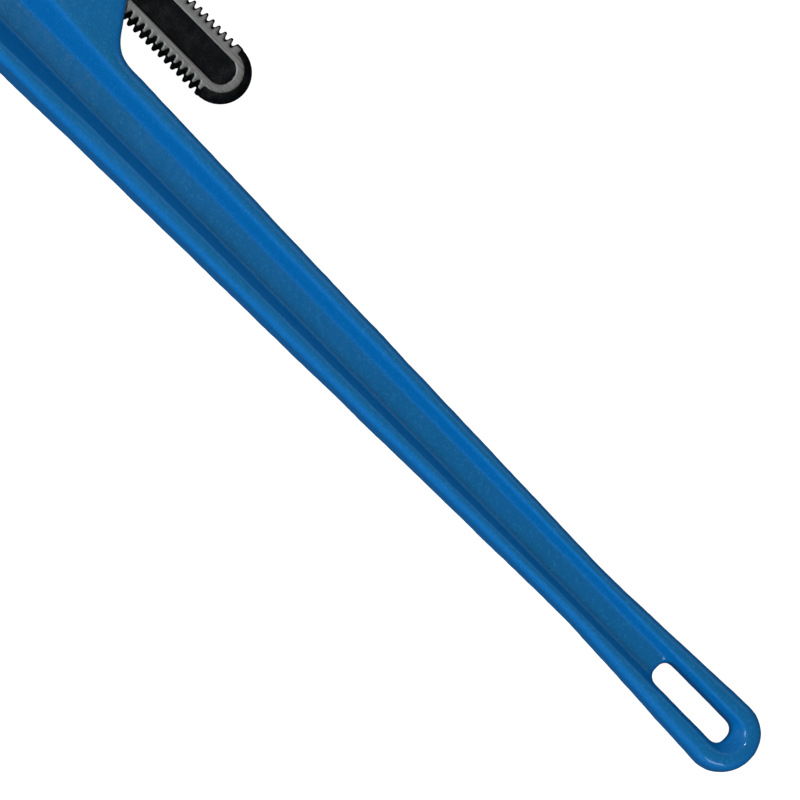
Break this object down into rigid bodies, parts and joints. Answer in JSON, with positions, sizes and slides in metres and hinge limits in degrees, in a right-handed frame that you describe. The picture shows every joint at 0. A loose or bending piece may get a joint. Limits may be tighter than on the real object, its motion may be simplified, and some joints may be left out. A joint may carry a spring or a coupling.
{
  "type": "pipe wrench",
  "caption": "Straight pipe wrench: I-section cast handle with a hanging slot, a fixed heel jaw, and a threaded hook jaw moved by an adjusting nut.",
  "frame": {"origin": "centre of the base of the wrench's bounding box, lying on its side with the jaws 30 mm open", "axes": "+X along the handle towards the jaws, +Y towards the side where the mouth opens, +Z square to the wrench's side faces"},
  "size_m": [0.5768, 0.1058, 0.041],
  "materials": {
    "painted_casting": "gloss blue enamel over rough sand-cast iron",
    "forged_steel": "forged steel, black oxide, with the side faces ground bright",
    "nut_steel": "turned and knurled steel, black oxide",
    "jaw_steel": "hardened steel, dark, with ground tooth tips",
    "spring_steel": "blued spring steel",
    "rivet_steel": "plain steel rivet head"
  },
  "bodies": {
    "wrench_body": {"handle": "painted_casting", "heel_jaw": "jaw_steel", "heel_jaw_pin": "jaw_steel", "coil_spring": "spring_steel", "leaf_spring": "spring_steel", "spring_rivet": "rivet_steel"},
    "nut": {"adjusting_nut": "nut_steel"},
    "hook": {"hook_jaw": "forged_steel"}
  },
  "joints": [
    {"name": "nut_spin", "type": "hinge", "parent": "wrench_body", "child": "nut", "pos_m": [0.1649, -0.02192, 0.0205], "axis": [-1, 0, 0], "range_deg": [-2955, 5805]},
    {"name": "jaw_travel", "type": "slide", "parent": "wrench_body", "child": "hook", "axis": [1, 0, 0], "range_m": [-0.0295, 0.058]}
  ],
  "couplings": [
    {"joint": "nut_spin", "follows": "jaw_travel", "rad_per_m": 1745.3}
  ]
}
